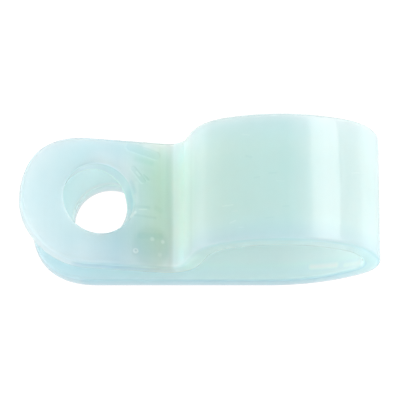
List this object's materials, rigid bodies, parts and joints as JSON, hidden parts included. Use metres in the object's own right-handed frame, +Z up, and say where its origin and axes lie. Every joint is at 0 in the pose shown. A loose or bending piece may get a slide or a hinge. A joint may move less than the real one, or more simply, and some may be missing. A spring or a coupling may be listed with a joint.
{
  "type": "p clip",
  "caption": "One-piece moulded nylon P clip: a flat strap folded into a rounded loop that holds a cable or hose, with a screw tab on each free end.",
  "frame": {"origin": "axis of the base screw hole where it meets the flat underside of the base", "axes": "+X from the screw tabs towards the loop, +Y across the strap, +Z up from the mounting surface"},
  "size_m": [0.0254, 0.0096, 0.0092],
  "materials": {
    "nylon": "natural translucent nylon 6/6, milky white with a faint cool tint, satin moulded surface"
  },
  "bodies": {
    "root": {"clip": "nylon"}
  },
  "joints": []
}
